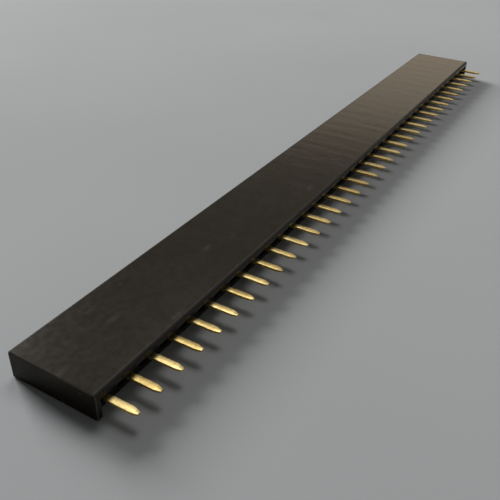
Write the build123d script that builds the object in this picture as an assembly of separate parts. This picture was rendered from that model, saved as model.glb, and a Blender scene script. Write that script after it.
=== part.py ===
from build123d import *
import os

# Female pin header strip, single row, lying on its broad side.
# X runs along the strip, +Y points at the mating face and -Y along the tails, Z is up.
# All sizes are in millimetres.

# Driving dimensions of the strip
positions = 36
pitch = 2.54
body_height = 8.5
body_thickness = 2.5
tail_length = 2.65
sheet = 0.25

# Edges of the moulded body
board_edge_radius = 0.3
mating_edge_radius = 0.15
end_bevel = 0.1

# Relief under the board-side lip, between the two end walls
relief_depth = 0.82
relief_height = 1.9
end_wall = 0.47

# Openings of the moulded body, one set for each position
funnel_mouth = 1.7
funnel_depth = 0.6
pin_hole = 0.9
mating_wall = 1.1
chamber_width = 1.6
chamber_height = 1.0
pocket_height = 1.6
pocket_depth = 3.2

# Folded base of a contact
base_recess = 1.6
bend_bevel = 0.18
barb_start = 0.35
barb_rise = 0.3
barb_flat = 0.1
barb_run_out = 0.35

# Spring beams of a contact
beam_width = 0.8
beam_tip_width = 0.6
beam_gap = 0.4
beam_bend_radius = 1.0
contact_depth = 2.3
tip_depth = 1.3
tip_flare = 0.3
root_overlap = 0.3

# Tail of a contact
tail_width = 0.6
joggle_recess = 0.9
tail_taper_length = 0.6
tail_tip_width = 0.3
tail_tip_thickness = 0.15

# Places worked out from the dimensions above
body_length = positions * pitch
mid_z = body_thickness / 2
mating_y = (body_height + tail_length) / 2
board_y = mating_y - body_height
tail_end_y = board_y - tail_length
relief_y = board_y + relief_depth
ledge_y = board_y + pocket_depth
base_end_y = board_y + base_recess
base_length = pocket_depth - base_recess
side_x = chamber_width / 2
roof_z = pocket_height / 2
flange_edge_z = beam_width / 2
flange_x = side_x - sheet / 2
web_z = roof_z - sheet / 2


def level(y):
    """A plane across the strip at y, drawn on in X and Z, that extrudes towards the tails."""
    return Plane(origin=(0, y, mid_z), x_dir=(1, 0, 0), z_dir=(0, -1, 0))


def upright(x):
    """A plane along the tails at x, drawn on in Y and Z, that extrudes along the strip."""
    return Plane(origin=(x, 0, mid_z), x_dir=(0, 1, 0), z_dir=(1, 0, 0))


def frustum(y, length, start, end):
    """A block that runs from y towards the tails, from the start size to the end size in X and Z."""
    inset_x = (start[0] - end[0]) / 2
    inset_z = (start[1] - end[1]) / 2
    block = Wedge(
        start[0],
        length,
        start[1],
        inset_x,
        inset_z,
        start[0] - inset_x,
        start[1] - inset_z,
        align=(Align.CENTER, Align.MIN, Align.CENTER),
    )
    return Pos(0, y, mid_z) * Rot(0, 0, 180) * block


# Moulded housing

def body_blank():
    """The bar before its openings, with rounded long edges and bevelled ends."""
    section = Pos(board_y + body_height / 2, 0) * Rectangle(body_height, body_thickness)
    section = fillet(section.vertices().group_by(Axis.X)[0], board_edge_radius)
    section = fillet(section.vertices().group_by(Axis.X)[-1], mating_edge_radius)
    bar = extrude(upright(0) * section, body_length / 2, both=True)
    return chamfer(bar.faces().filter_by(Axis.X).edges(), end_bevel)


def cavity():
    """One position's way from the mating face to the relief: funnel, pin hole, chamber and pocket."""
    hole_y = mating_y - funnel_depth
    chamber_y = mating_y - mating_wall
    funnel = frustum(mating_y, funnel_depth, (funnel_mouth, funnel_mouth), (pin_hole, pin_hole))
    hole = extrude(level(hole_y) * Rectangle(pin_hole, pin_hole), hole_y - chamber_y)
    chamber = extrude(level(chamber_y) * Rectangle(chamber_width, chamber_height), chamber_y - ledge_y)
    pocket = extrude(level(ledge_y) * Rectangle(chamber_width, pocket_height), ledge_y - relief_y)
    return funnel + hole + chamber + pocket


def relief():
    """The room under the lip, open towards the board and below, that keeps the body off the solder."""
    room = Box(
        body_length - 2 * end_wall,
        relief_depth,
        relief_height,
        align=(Align.CENTER, Align.MIN, Align.MIN),
    )
    return Pos(0, board_y, 0) * room


def housing(places):
    opening = cavity()
    return body_blank() - relief() - [Pos(x, 0, 0) * opening for x in places]


# Stamped and folded contact

def folded_base():
    """A channel, open downwards, whose web and two flanges seat on three walls of the pocket."""
    outline = make_face(Polyline(
        (side_x, -flange_edge_z),
        (side_x, roof_z),
        (-side_x, roof_z),
        (-side_x, -flange_edge_z),
        (sheet - side_x, -flange_edge_z),
        (sheet - side_x, roof_z - sheet),
        (side_x - sheet, roof_z - sheet),
        (side_x - sheet, -flange_edge_z),
        close=True,
    ))
    bends = outline.vertices().group_by(Axis.Y)[-1]
    return extrude(level(ledge_y) * chamfer(bends, bend_bevel), base_length)


def barb():
    """The right flange's barb, which bears on the fourth wall of the pocket."""
    foot_y = base_end_y + barb_start
    point_y = foot_y + barb_rise
    outline = make_face(Polyline(
        (foot_y, -flange_edge_z),
        (point_y, -roof_z),
        (point_y + barb_flat, -roof_z),
        (point_y + barb_flat + barb_run_out, -flange_edge_z),
        close=True,
    ))
    return extrude(upright(side_x - sheet) * outline, sheet)


def beam():
    """The right spring beam: it leans in to the pin, then flares out as a lead-in."""
    contact_x = (beam_gap + sheet) / 2
    tip_y = mating_y - tip_depth
    path = FilletPolyline(
        (flange_x, ledge_y - root_overlap),
        (contact_x, mating_y - contact_depth),
        (contact_x + tip_flare, tip_y),
        radius=beam_bend_radius,
    )
    strip = extrude(Plane.XY.offset(mid_z) * trace(path, sheet), beam_width, both=True)
    taper = make_face(Polyline(
        (ledge_y - root_overlap, -flange_edge_z),
        (ledge_y, -flange_edge_z),
        (mating_y, -beam_tip_width / 2),
        (mating_y, beam_tip_width / 2),
        (ledge_y, flange_edge_z),
        (ledge_y - root_overlap, flange_edge_z),
        close=True,
    ))
    return strip & extrude(upright(0) * taper, pitch / 2)


def tail():
    """The solder tail: it steps from the web to the middle of the body and ends in a coined tip."""
    taper_y = tail_end_y + tail_taper_length
    path = Polyline(
        (base_end_y + root_overlap, web_z),
        (base_end_y, web_z),
        (board_y + joggle_recess, 0),
        (taper_y, 0),
    )
    blade = extrude(upright(-tail_width / 2) * trace(path, sheet), tail_width)
    blade_size = (tail_width, sheet)
    tip_size = (tail_tip_width, tail_tip_thickness)
    return blade + frustum(taper_y, tail_taper_length, blade_size, tip_size)


def contact():
    """One contact on the socket at x = 0, folded from a single strip."""
    right_half = beam() + barb()
    left_half = mirror(right_half, about=Plane.YZ)
    return folded_base() + right_half + left_half + tail()


# Write one file for each piece
os.makedirs("parts", exist_ok=True)
socket_places = [(n + 0.5) * pitch - body_length / 2 for n in range(positions)]
export_step(housing(socket_places), "parts/housing.step")
one_contact = contact()
for number, x in enumerate(socket_places, start=1):
    export_step(Pos(x, 0, 0) * one_contact, f"parts/contact_{number:02d}.step")
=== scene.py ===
import math

import bpy
from mathutils import Matrix, Vector


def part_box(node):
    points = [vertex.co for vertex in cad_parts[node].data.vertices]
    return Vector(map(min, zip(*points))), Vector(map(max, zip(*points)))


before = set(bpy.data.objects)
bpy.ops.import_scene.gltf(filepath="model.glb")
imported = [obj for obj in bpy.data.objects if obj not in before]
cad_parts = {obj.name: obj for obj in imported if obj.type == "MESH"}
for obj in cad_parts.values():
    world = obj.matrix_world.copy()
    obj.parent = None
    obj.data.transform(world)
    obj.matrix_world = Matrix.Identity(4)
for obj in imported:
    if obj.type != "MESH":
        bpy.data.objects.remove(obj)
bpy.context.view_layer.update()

# Female pin header strip: its finish, light and camera.
# X runs along the strip, +Y points at the mating face and -Y along the tails, Z is up.
# Sizes are in metres, apart from those whose heading or name gives millimetres.
MM = 0.001
PER_MM = 1 / MM
UP = Vector((0, 0, 1))

# The strip as it stands in the frame
body_low, body_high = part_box("housing")
body_middle = (body_low + body_high) / 2
contact_names = sorted(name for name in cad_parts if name.startswith("contact"))
pitch_mm = (body_high.x - body_low.x) * PER_MM / len(contact_names)

# Camera, placed from the near corner of the body that lies on the floor beside the first tail
IMAGE_PIXELS = 500
FOCAL_PIXELS = 650.5
SENSOR_MM = 36.0
CAMERA_OFFSET = Vector((-21.80, -24.55, 34.85)) * MM
HEADING = math.radians(30.31)
DROP = math.radians(32.95)
ROLL = math.radians(1.44)
CLIP_NEAR = 1 * MM

# Light
WORLD_COLOUR = (1.0, 0.97, 0.92, 1)
WORLD_STRENGTH = 0.11
KEY_COLOUR = (1.0, 0.96, 0.90)
SIDE_COLOUR = (1.0, 0.975, 0.93)
EDGE_COLOUR = (1.0, 0.97, 0.92)
WALL_COLOUR = (1.0, 0.83, 0.61)

# Floor
FLOOR_SIDE = 6.0
FLOOR_DARK = (0.328, 0.347, 0.370, 1)
FLOOR_LIGHT = (0.345, 0.365, 0.389, 1)
FLOOR_PATCHES_PER_MM = 0.02
FLOOR_NOISE_RANGE = (0.35, 0.65)
FLOOR_ROUGHNESS = 0.9
FLOOR_SHINE = 0.05

# The part of a noise that is stretched to a whole range
NOISE_RANGE = (0.3, 0.7)

# Black moulded plastic: its colours and how shiny it is
PLASTIC_DARK = (0.0122, 0.0090, 0.0052, 1)
PLASTIC_LIGHT = (0.0156, 0.0120, 0.0074, 1)
# Pale for dust and scuffs, and painted on the end bevels as a sheen for the light they catch
PALE_DUST_AND_SHEEN = (0.048, 0.043, 0.036, 1)
SATIN_LEAST = 0.18
SATIN_MOST = 0.22
RUBBED_LEAST = 0.45
RUBBED_MOST = 0.92
MOULDED_SHINE = 0.5
CUT_SHINE = 0.08

# Black moulded plastic: the reach of its rubbed and cut places and of the end bevels painted pale as a
# sheen, in millimetres
BOARD_ROUND = 0.29
MATING_ROUND = 0.14
ROUND_FADE = 0.02
BRINK = 0.16
BRINK_FADE = 0.06
END_SKIN = 0.015
END_BEVEL = 0.11
END_FADE = 0.01

# Black moulded plastic: its clouds, dust and scuffs, with a spot's core and reach as shares of a cell
CLOUDS_PER_MM = 0.5
PATCHES_PER_MM = 1.7
SPECKS = {"per_mm": 1.1, "rarity": 0.84, "reach": 0.22}
SCUFFS = {"per_mm": 0.7, "rarity": 0.55, "reach": 0.32}
SPOT_CORE = 0.04
SCUFF_STRETCH = (0.45, 1.3, 1.0)
SCUFF_SHARE = 0.6
RAGGED_PER_MM = 3.5
RAGGED_SHIFT_MM = 0.5

# Black moulded plastic: its sink marks, streaks and grain
# A wave texture of scale 1 repeats after this length.
WAVE_LENGTH = math.pi / 10
SINK_DISTORTION = 0.6
SINK_DEPTH = 0.003 * MM
STREAKS_PER_MM = 0.8
STREAK_STRETCH = (1.0, 0.25, 1.0)
STREAK_DEPTH = 0.014 * MM
GRAIN_PER_MM = 9.0
GRAIN_DEPTH = 0.0007 * MM

# Gold plate
GOLD_DEEP = (0.60, 0.44, 0.155, 1)
GOLD_BRIGHT = (0.90, 0.725, 0.34, 1)
TONE_SHARE = 0.35
TONE_RANGE = (0.35, 0.85)
GOLD_SMOOTHEST = 0.34
GOLD_ROUGHEST = 0.46
MOTTLES_PER_MM = 4.0
MOTTLE_ROUGHNESS = 0.6
WEAR_PER_MM = 7.0
ROLLING_PER_MM = 14.0
ROLLING_STRETCH = (1, 0.08, 1)
ROLLING_DEPTH = 0.002 * MM
PITS_PER_MM = 11.0
PIT_DEPTH = 0.0012 * MM

# Stamped edges of a contact
CONTACT_EDGE = 0.05 * MM
EDGE_SEGMENTS = 3
EDGE_ANGLE = math.radians(35)
WELD_GAP = 0.001 * MM


# Node helpers

def feed(tree, socket, value):
    """Sets a socket to a value, or links it to the output that is given instead."""
    if isinstance(value, bpy.types.NodeSocket):
        tree.links.new(value, socket)
    else:
        socket.default_value = value


def node(tree, kind, inputs=None, **settings):
    """Adds a node. Each input is a value for its socket, or the output that feeds it."""
    made = tree.nodes.new(kind)
    for name, value in settings.items():
        setattr(made, name, value)
    for name, value in (inputs or {}).items():
        feed(tree, made.inputs[name], value)
    return made


def new_material(name):
    material = bpy.data.materials.new(name)
    material.use_nodes = True
    tree = material.node_tree
    return material, tree, tree.nodes["Principled BSDF"]


def place_in_mm(tree, stretch=(1, 1, 1)):
    """The point on the part in millimetres, with each axis multiplied by its stretch."""
    coordinates = node(tree, "ShaderNodeTexCoord").outputs["Object"]
    scale = [PER_MM * s for s in stretch]
    return node(tree, "ShaderNodeMapping", {"Vector": coordinates, "Scale": scale}).outputs["Vector"]


def noise(tree, where, per_mm, detail=2.0, roughness=0.5):
    inputs = {"Vector": where, "Scale": per_mm, "Detail": detail, "Roughness": roughness}
    return node(tree, "ShaderNodeTexNoise", inputs).outputs["Fac"]


def spread(tree, value, low, high, to_low=0.0, to_high=1.0):
    """Stretches value from low..high to to_low..to_high, and holds it there."""
    inputs = {"Value": value, "From Min": low, "From Max": high, "To Min": to_low, "To Max": to_high}
    return node(tree, "ShaderNodeMapRange", inputs).outputs["Result"]


def blend_colours(tree, amount, first, second):
    mixer = node(tree, "ShaderNodeMix", data_type="RGBA")
    sockets = {socket.name: socket for socket in mixer.inputs if socket.enabled}
    for name, value in (("Factor", amount), ("A", first), ("B", second)):
        feed(tree, sockets[name], value)
    return next(socket for socket in mixer.outputs if socket.enabled)


def math_node(tree, operation, first, second=0.0):
    made = node(tree, "ShaderNodeMath", operation=operation)
    feed(tree, made.inputs[0], first)
    feed(tree, made.inputs[1], second)
    return made.outputs["Value"]


def bump(tree, height, depth, normal=None):
    """The normal of a surface with this height, on top of an earlier bump's normal if there is one."""
    inputs = {"Height": height, "Distance": depth}
    if normal is not None:
        inputs["Normal"] = normal
    return node(tree, "ShaderNodeBump", inputs).outputs["Normal"]


# Moulded plastic

def upper_edges(tree, axes):
    """One on the rounded upper edges of the bar, zero elsewhere."""
    board_y = body_low.y * PER_MM + BOARD_ROUND
    mating_y = body_high.y * PER_MM - MATING_ROUND
    round_z = body_high.z * PER_MM - BOARD_ROUND
    board = spread(tree, axes["Y"], board_y, board_y + ROUND_FADE, 1, 0)
    mating = spread(tree, axes["Y"], mating_y - ROUND_FADE, mating_y)
    upper = spread(tree, axes["Z"], round_z - ROUND_FADE, round_z)
    return math_node(tree, "MULTIPLY", math_node(tree, "MAXIMUM", board, mating), upper)


def bar_ends(tree, axes, depth):
    """One within a depth of the two end faces of the bar, zero elsewhere."""
    out = math_node(tree, "ABSOLUTE", math_node(tree, "SUBTRACT", axes["X"], body_middle.x * PER_MM))
    end_x = (body_high.x - body_middle.x) * PER_MM
    return spread(tree, out, end_x - depth, end_x - depth + END_FADE)


def ragged(tree, where):
    """The point shifted a little at random, which breaks up round shapes."""
    inputs = {"Vector": where, "Scale": RAGGED_PER_MM, "Detail": 3.0}
    shift = node(tree, "ShaderNodeTexNoise", inputs).outputs["Color"]
    inputs = {"Vector": shift, "Scale": RAGGED_SHIFT_MM}
    reach = node(tree, "ShaderNodeVectorMath", inputs, operation="SCALE").outputs["Vector"]
    moved = node(tree, "ShaderNodeVectorMath", operation="ADD")
    feed(tree, moved.inputs[0], where)
    feed(tree, moved.inputs[1], reach)
    return moved.outputs["Vector"]


def scattered(tree, where, per_mm, rarity, reach):
    """Soft spots in some cells of a random grid, fainter where the draw is close to the rarity."""
    cells = node(tree, "ShaderNodeTexVoronoi", {"Vector": where, "Scale": per_mm})
    draw = node(tree, "ShaderNodeSeparateColor", {"Color": cells.outputs["Color"]}).outputs["Red"]
    near = spread(tree, cells.outputs["Distance"], SPOT_CORE, reach, 1, 0)
    return math_node(tree, "MULTIPLY", spread(tree, draw, rarity, 1), near)


def plastic_colour(tree, place, wear_and_bevel_sheen):
    """Cloudy warm black, pale where there is dust and where it is scuffed, and pale on the end bevels as a
    painted sheen.
    """
    cloud = spread(tree, noise(tree, place, CLOUDS_PER_MM, detail=3), *NOISE_RANGE)
    black = blend_colours(tree, cloud, PLASTIC_DARK, PLASTIC_LIGHT)
    specks = scattered(tree, ragged(tree, place), **SPECKS)
    scuffs = scattered(tree, ragged(tree, place_in_mm(tree, SCUFF_STRETCH)), **SCUFFS)
    dust = math_node(tree, "MAXIMUM", specks, math_node(tree, "MULTIPLY", scuffs, SCUFF_SHARE))
    # The specks and scuffs are dust; the pale on the end bevels is a painted sheen.
    return blend_colours(tree, math_node(tree, "MAXIMUM", dust, wear_and_bevel_sheen), black, PALE_DUST_AND_SHEEN)


def plastic_roughness(tree, place, axes):
    """Satin in slight patches, dull on the rubbed edges and less so on the brink of the board side."""
    patch = noise(tree, place, PATCHES_PER_MM, detail=3)
    satin = spread(tree, patch, *NOISE_RANGE, SATIN_LEAST, SATIN_MOST)
    brink_y = body_low.y * PER_MM + BRINK
    rubbed = spread(tree, axes["Y"], brink_y, brink_y + BRINK_FADE, RUBBED_LEAST, RUBBED_MOST)
    return spread(tree, upper_edges(tree, axes), 0, 1, satin, rubbed)


def plastic_surface(tree, place):
    """Shallow sink marks at the pitch, moulding streaks across the bar and a fine grain."""
    sinks = node(
        tree,
        "ShaderNodeTexWave",
        {"Vector": place, "Scale": WAVE_LENGTH / pitch_mm, "Distortion": SINK_DISTORTION, "Detail": 1.0},
        wave_type="BANDS",
        bands_direction="X",
    ).outputs["Fac"]
    streaks = noise(tree, place_in_mm(tree, STREAK_STRETCH), STREAKS_PER_MM)
    grain = noise(tree, place, GRAIN_PER_MM, detail=3)
    sunk = bump(tree, sinks, SINK_DEPTH)
    streaked = bump(tree, streaks, STREAK_DEPTH, sunk)
    return bump(tree, grain, GRAIN_DEPTH, streaked)


def moulded_plastic():
    """Black satin plastic with rubbed long edges, end bevels painted pale as a sheen, and duller cut ends.
    """
    material, tree, shader = new_material("moulded_plastic")
    place = place_in_mm(tree)
    axes = node(tree, "ShaderNodeSeparateXYZ", {"Vector": place}).outputs
    cut = bar_ends(tree, axes, END_SKIN)
    # The end bevels, apart from the cut ends, are painted pale: a painted sheen.
    wear_and_bevel_sheen = math_node(tree, "SUBTRACT", bar_ends(tree, axes, END_BEVEL), cut)
    shine = spread(tree, cut, 0, 1, MOULDED_SHINE, CUT_SHINE)
    feed(tree, shader.inputs["Base Color"], plastic_colour(tree, place, wear_and_bevel_sheen))
    feed(tree, shader.inputs["Roughness"], plastic_roughness(tree, place, axes))
    feed(tree, shader.inputs["Specular IOR Level"], shine)
    feed(tree, shader.inputs["Normal"], plastic_surface(tree, place))
    return material


# Gold plate

def gold_colour(tree, place):
    """Mottled gold, with a tone of its own for each contact."""
    along = node(tree, "ShaderNodeSeparateXYZ", {"Vector": place}).outputs["X"]
    number = math_node(tree, "FLOOR", math_node(tree, "DIVIDE", along, pitch_mm))
    draw = node(tree, "ShaderNodeTexWhiteNoise", {"W": number}, noise_dimensions="1D").outputs["Value"]
    mottle = noise(tree, place, MOTTLES_PER_MM, detail=4, roughness=MOTTLE_ROUGHNESS)
    tone = math_node(tree, "ADD", math_node(tree, "MULTIPLY", draw, TONE_SHARE), mottle)
    return blend_colours(tree, spread(tree, tone, *TONE_RANGE), GOLD_DEEP, GOLD_BRIGHT)


def gold_surface(tree, place):
    """Rolling lines along the tail, and fine pits."""
    rolled = noise(tree, place_in_mm(tree, ROLLING_STRETCH), ROLLING_PER_MM)
    pitted = noise(tree, place, PITS_PER_MM, detail=3)
    return bump(tree, pitted, PIT_DEPTH, bump(tree, rolled, ROLLING_DEPTH))


def gold_plate():
    """Gold plate over stamped bronze, a little worn."""
    material, tree, shader = new_material("gold_plate")
    place = place_in_mm(tree)
    wear_and_bevel_sheen = noise(tree, place, WEAR_PER_MM, detail=3)
    roughness = spread(tree, wear_and_bevel_sheen, *NOISE_RANGE, GOLD_SMOOTHEST, GOLD_ROUGHEST)
    feed(tree, shader.inputs["Metallic"], 1.0)
    feed(tree, shader.inputs["Base Color"], gold_colour(tree, place))
    feed(tree, shader.inputs["Roughness"], roughness)
    feed(tree, shader.inputs["Normal"], gold_surface(tree, place))
    return material


# Pieces

def new_modifier_tree(name):
    """A modifier tree with nothing in it yet, and the output that carries the incoming geometry."""
    tree = bpy.data.node_groups.new(name, "GeometryNodeTree")
    tree.interface.new_socket("Geometry", in_out="INPUT", socket_type="NodeSocketGeometry")
    tree.interface.new_socket("Geometry", in_out="OUTPUT", socket_type="NodeSocketGeometry")
    return tree, node(tree, "NodeGroupInput").outputs["Geometry"]


def plain_normals():
    """A modifier tree that drops stored normals and joins split corners, ready for a bevel."""
    tree, start = new_modifier_tree("plain_normals")
    inputs = {"Geometry": start, "Name": "custom_normal"}
    bare = node(tree, "GeometryNodeRemoveAttribute", inputs).outputs["Geometry"]
    inputs = {"Geometry": bare, "Distance": WELD_GAP}
    joined = node(tree, "GeometryNodeMergeByDistance", inputs).outputs["Geometry"]
    node(tree, "NodeGroupOutput", {"Geometry": joined})
    return tree


def even_shading():
    """A modifier tree that shades smoothly across gentle edges and keeps the others sharp."""
    tree, start = new_modifier_tree("even_shading")
    smooth = node(tree, "GeometryNodeSetShadeSmooth", {"Geometry": start}, domain="FACE").outputs["Geometry"]
    angle = node(tree, "GeometryNodeInputMeshEdgeAngle").outputs["Unsigned Angle"]
    inputs = {"A": angle, "B": EDGE_ANGLE}
    sharp = node(tree, "FunctionNodeCompare", inputs, operation="GREATER_THAN").outputs["Result"]
    inputs = {"Geometry": smooth, "Selection": sharp, "Shade Smooth": False}
    shaded = node(tree, "GeometryNodeSetShadeSmooth", inputs, domain="EDGE").outputs["Geometry"]
    node(tree, "NodeGroupOutput", {"Geometry": shaded})
    return tree


def dress(part, material):
    part.data.materials.clear()
    part.data.materials.append(material)


def roll_edges(part, joining, shading):
    """Rounds the stamped edges of a contact."""
    part.modifiers.new("joined", "NODES").node_group = joining
    rounded = part.modifiers.new("rolled_edges", "BEVEL")
    rounded.width = CONTACT_EDGE
    rounded.segments = EDGE_SEGMENTS
    rounded.limit_method = "ANGLE"
    rounded.angle_limit = EDGE_ANGLE
    part.modifiers.new("shading", "NODES").node_group = shading


def dress_contacts():
    gold = gold_plate()
    joining, shading = plain_normals(), even_shading()
    for name in contact_names:
        dress(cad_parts[name], gold)
        roll_edges(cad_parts[name], joining, shading)


# Stage

def floor_paint():
    """Pale grey, in broad patches that hardly differ."""
    material, tree, shader = new_material("floor_paint")
    patch = spread(tree, noise(tree, place_in_mm(tree), FLOOR_PATCHES_PER_MM), *FLOOR_NOISE_RANGE)
    feed(tree, shader.inputs["Base Color"], blend_colours(tree, patch, FLOOR_DARK, FLOOR_LIGHT))
    feed(tree, shader.inputs["Roughness"], FLOOR_ROUGHNESS)
    feed(tree, shader.inputs["Specular IOR Level"], FLOOR_SHINE)
    return material


def lay_floor():
    half = FLOOR_SIDE / 2
    mesh = bpy.data.meshes.new("floor")
    corners = [(-half, -half, 0), (half, -half, 0), (half, half, 0), (-half, half, 0)]
    mesh.from_pydata(corners, [], [(0, 1, 2, 3)])
    floor = bpy.data.objects.new("floor", mesh)
    floor.location.z = body_low.z
    bpy.context.scene.collection.objects.link(floor)
    dress(floor, floor_paint())


def direction(heading, elevation):
    """A heading turns from the far end of the strip, +X, towards its mating side, +Y."""
    return Vector((
        math.cos(heading) * math.cos(elevation),
        math.sin(heading) * math.cos(elevation),
        math.sin(elevation),
    ))


def soft_light(name, colour, watts, heading, elevation, distance, size):
    """A rectangular lamp that faces the strip's middle from a heading and elevation in degrees."""
    lamp = bpy.data.lights.new(name, "AREA")
    lamp.shape = "RECTANGLE"
    lamp.size, lamp.size_y = size
    lamp.energy = watts
    lamp.color = colour
    light = bpy.data.objects.new(name, lamp)
    away = direction(math.radians(heading), math.radians(elevation))
    light.location = body_middle + away * distance
    light.rotation_euler = away.to_track_quat("Z", "Y").to_euler()
    light.visible_camera = False
    bpy.context.scene.collection.objects.link(light)


def light_world():
    world = bpy.data.worlds.new("studio")
    world.use_nodes = True
    background = world.node_tree.nodes["Background"]
    background.inputs["Color"].default_value = WORLD_COLOUR
    background.inputs["Strength"].default_value = WORLD_STRENGTH
    bpy.context.scene.world = world


def place_camera():
    """The camera looks along its heading, dropped below the horizon, with the picture tipped by the roll."""
    forward = direction(HEADING, -DROP)
    right = forward.cross(UP).normalized()
    up = right.cross(forward)
    rolled_right = math.cos(ROLL) * right + math.sin(ROLL) * up
    rolled_up = math.cos(ROLL) * up - math.sin(ROLL) * right
    camera = bpy.data.objects.new("camera", bpy.data.cameras.new("camera"))
    camera.data.sensor_width = SENSOR_MM
    camera.data.lens = FOCAL_PIXELS / IMAGE_PIXELS * SENSOR_MM
    camera.data.clip_start = CLIP_NEAR
    turn = Matrix((rolled_right, rolled_up, -forward)).transposed()
    camera.matrix_world = Matrix.Translation(body_low + CAMERA_OFFSET) @ turn.to_4x4()
    bpy.context.scene.collection.objects.link(camera)
    bpy.context.scene.camera = camera


# The whole picture
dress(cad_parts["housing"], moulded_plastic())
dress_contacts()
lay_floor()
light_world()
soft_light("key", KEY_COLOUR, watts=0.41, heading=25, elevation=62, distance=0.38, size=(0.16, 0.16))
soft_light("side", SIDE_COLOUR, watts=39, heading=73, elevation=20.5, distance=1.5, size=(0.62, 0.45))
soft_light("edge", EDGE_COLOUR, watts=0.08, heading=-22, elevation=36, distance=0.6, size=(0.1, 0.1))
soft_light("back_wall", WALL_COLOUR, watts=0.31, heading=15, elevation=12.5, distance=0.6, size=(0.7, 0.2))
place_camera()
bpy.context.scene.view_settings.view_transform = "Standard"
